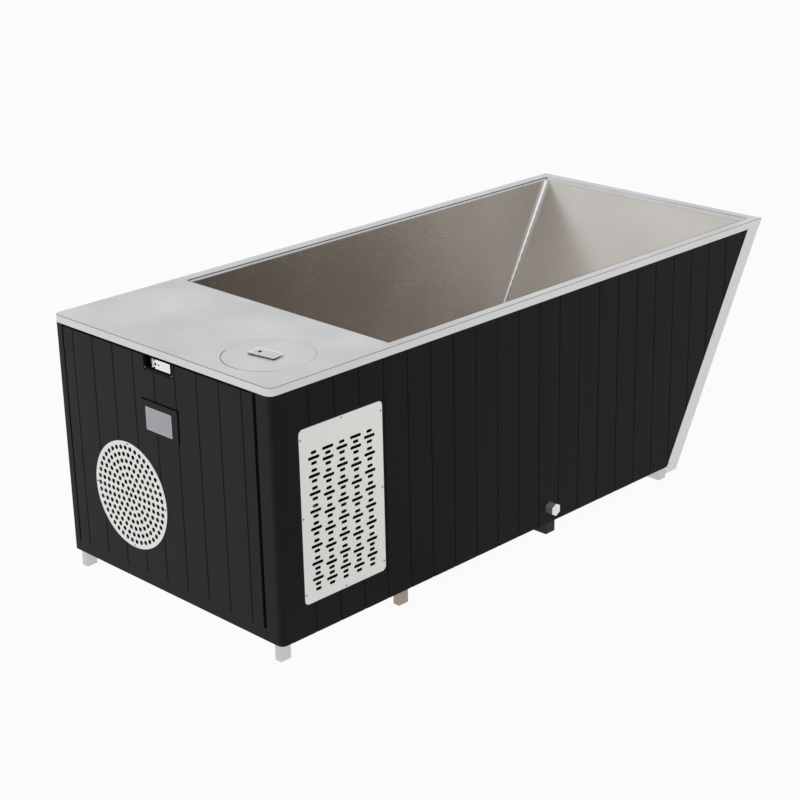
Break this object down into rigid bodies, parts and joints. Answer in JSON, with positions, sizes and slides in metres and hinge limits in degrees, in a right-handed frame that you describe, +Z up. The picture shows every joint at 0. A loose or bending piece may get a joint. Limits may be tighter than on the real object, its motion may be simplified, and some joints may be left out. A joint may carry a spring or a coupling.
{
  "type": "cold plunge tub",
  "caption": "Long cold plunge tub with a slanted end, stainless basin and deck, dark grooved cladding, and a front bay holding the fan, pump, filter and chiller.",
  "frame": {"origin": "on the floor, at the centre of the underside of the middle cross-beam", "axes": "+X along the tub from the equipment end to the slanted end, +Y towards the plain long side, +Z up"},
  "size_m": [1.849, 0.8223, 0.6854],
  "materials": {
    "stainless": "satin",
    "basin_steel": "satin",
    "polished_chrome": "polished",
    "black_board": "satin",
    "black_paint": "satin",
    "bezel_black": "satin",
    "screen_grey": "gloss",
    "foam": "matte",
    "galvanised": "satin",
    "coil_fins": "satin",
    "copper": "satin",
    "dark_plastic": "satin",
    "compressor_paint": "satin",
    "white_plastic": "satin",
    "filter_media": "matte",
    "hose": "satin"
  },
  "bodies": {
    "case": {"top_deck": "stainless", "end_trim_near": "stainless", "end_trim_far": "stainless", "side_grille": "stainless", "front_foot_near": "stainless", "front_foot_far": "stainless", "mid_foot_near": "stainless", "mid_foot_far": "stainless", "rear_beam": "stainless", "suction_fitting": "stainless", "return_fitting": "stainless", "drain_fitting": "stainless", "basin": "basin_steel", "corner_post_near": "black_board", "corner_post_far": "black_board", "front_sill": "black_board", "side_cladding_near": "black_board", "side_cladding_far": "black_board", "end_cladding": "black_board", "latch_bracket": "black_paint", "middle_beam": "black_paint", "fan_shroud": "black_paint", "insulation_near": "foam", "insulation_far": "foam", "insulation_end": "foam", "insulation_floor": "foam", "insulation_bulkhead": "foam", "base_rail_near": "galvanised", "base_rail_far": "galvanised", "bay_upright_near": "galvanised", "bay_upright_far": "galvanised", "base_pan": "galvanised", "basin_bearer_1": "galvanised", "basin_bearer_2": "galvanised", "condenser_coil": "coil_fins", "discharge_line": "copper", "liquid_line": "copper", "suction_line": "copper", "fan_motor": "dark_plastic", "circulation_pump": "dark_plastic", "compressor": "compressor_paint", "heat_exchanger": "white_plastic", "filter_housing": "white_plastic", "control_box": "white_plastic", "filter_cartridge": "filter_media", "suction_hose": "hose", "pump_hose": "hose", "filter_hose": "hose", "return_hose": "hose"},
    "hatch": {"hatch_lid": "stainless", "handle_base": "stainless"},
    "handle": {"handle_flap": "stainless"},
    "panel": {"access_panel": "black_board", "display_bezel": "bezel_black", "display_screen": "screen_grey", "fan_grille": "stainless"},
    "hasp": {"latch_hasp": "polished_chrome"},
    "fan": {"fan_rotor": "dark_plastic"},
    "drain_plug": {"drain_cap": "polished_chrome"},
    "filter_top": {"filter_cap": "dark_plastic"}
  },
  "joints": [
    {"name": "hatch_lift", "type": "slide", "parent": "case", "child": "hatch", "axis": [0, 0, 1], "range_m": [0, 0.2]},
    {"name": "handle_flip", "type": "hinge", "parent": "hatch", "child": "handle", "pos_m": [-0.82732, -0.18317, 0.6836], "axis": [-0.9903, -0.1392, 0], "range_deg": [0, 95]},
    {"name": "panel_tilt", "type": "hinge", "parent": "case", "child": "panel", "pos_m": [-0.967, 0.014, 0.0773], "axis": [0, -1, 0], "range_deg": [0, 25]},
    {"name": "hasp_swing", "type": "hinge", "parent": "case", "child": "hasp", "pos_m": [-0.964, 0.009, 0.642], "axis": [0, 0, -1], "range_deg": [0, 110]},
    {"name": "fan_spin", "type": "hinge", "parent": "case", "child": "fan", "pos_m": [-0.909, 0.135, 0.272], "axis": [1, 0, 0], "continuous": true},
    {"name": "drain_cap_turn", "type": "hinge", "parent": "case", "child": "drain_plug", "pos_m": [-0.029, -0.41, 0.0888], "axis": [0, 1, 0], "continuous": true},
    {"name": "filter_cap_turn", "type": "hinge", "parent": "case", "child": "filter_top", "pos_m": [-0.82, -0.229, 0.606], "axis": [0, 0, 1], "continuous": true}
  ]
}
